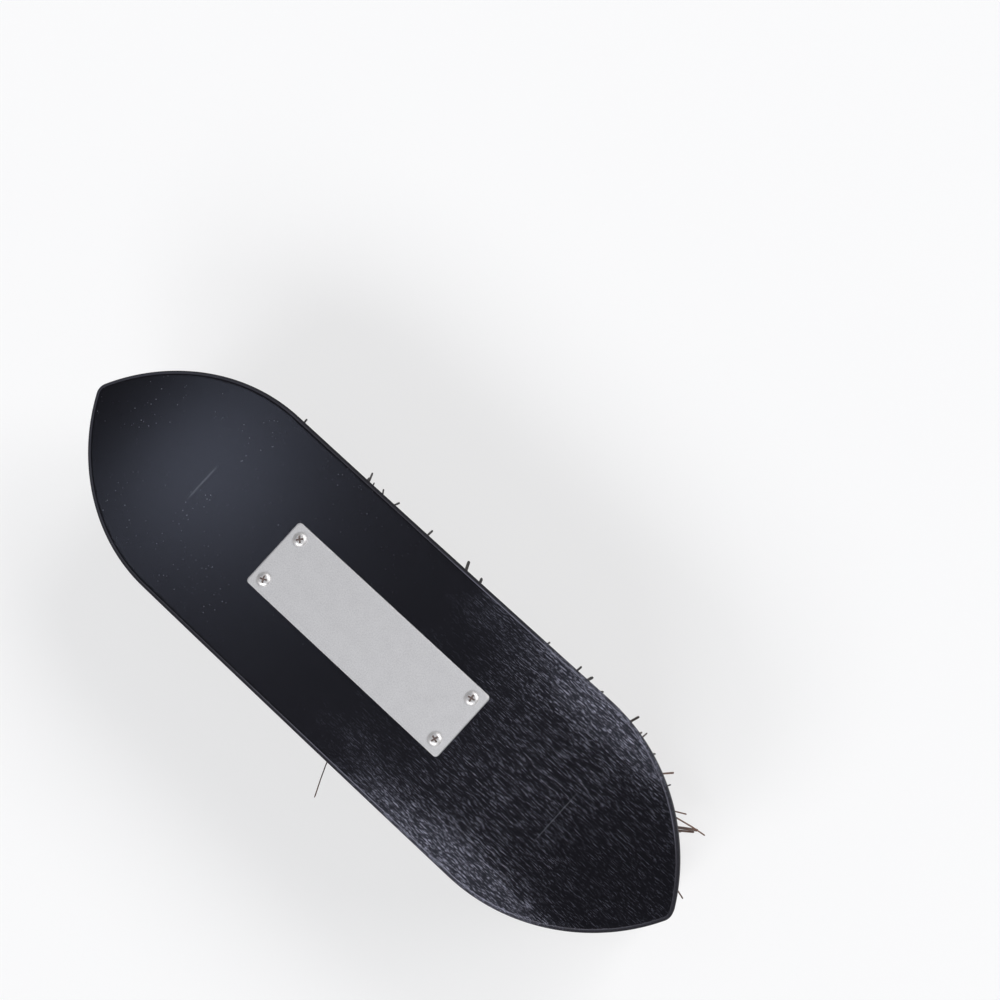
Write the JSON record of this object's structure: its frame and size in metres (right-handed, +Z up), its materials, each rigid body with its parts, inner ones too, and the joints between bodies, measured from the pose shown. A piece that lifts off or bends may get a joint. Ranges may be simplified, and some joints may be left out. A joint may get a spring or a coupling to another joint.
{
  "type": "root brush",
  "caption": "Boat-shaped lacquered wooden scrubbing brush with stiff root fibre tufts and a bare screwed metal plate on its back.",
  "frame": {"origin": "on the ground under the middle of the brush, which lies on its bristle tips", "axes": "+X along the block, +Y across it, +Z up, out of the back with the plate"},
  "size_m": [0.2235, 0.0636, 0.0639],
  "materials": {
    "black_lacquer": "satin black lacquer over fine grained wood",
    "satin_plate": "finely blasted satin aluminium, bare",
    "screw_steel": "nickel plated steel",
    "root_fibre": "stiff dark brown root fibre with pale cut tips"
  },
  "bodies": {
    "root": {"brush_block": "black_lacquer", "name_plate": "satin_plate", "plate_screw_1": "screw_steel", "plate_screw_2": "screw_steel", "plate_screw_3": "screw_steel", "plate_screw_4": "screw_steel", "tuft_row_01": "root_fibre", "tuft_row_02": "root_fibre", "tuft_row_03": "root_fibre", "tuft_row_04": "root_fibre", "tuft_row_05": "root_fibre", "tuft_row_06": "root_fibre", "tuft_row_07": "root_fibre", "tuft_row_08": "root_fibre", "tuft_row_09": "root_fibre", "tuft_row_10": "root_fibre", "tuft_row_11": "root_fibre", "tuft_row_12": "root_fibre", "tuft_row_13": "root_fibre", "tuft_row_14": "root_fibre", "tuft_row_15": "root_fibre", "tuft_row_16": "root_fibre", "tuft_row_17": "root_fibre", "tuft_row_18": "root_fibre", "tuft_row_19": "root_fibre", "tuft_row_20": "root_fibre", "tuft_row_21": "root_fibre"}
  },
  "joints": []
}
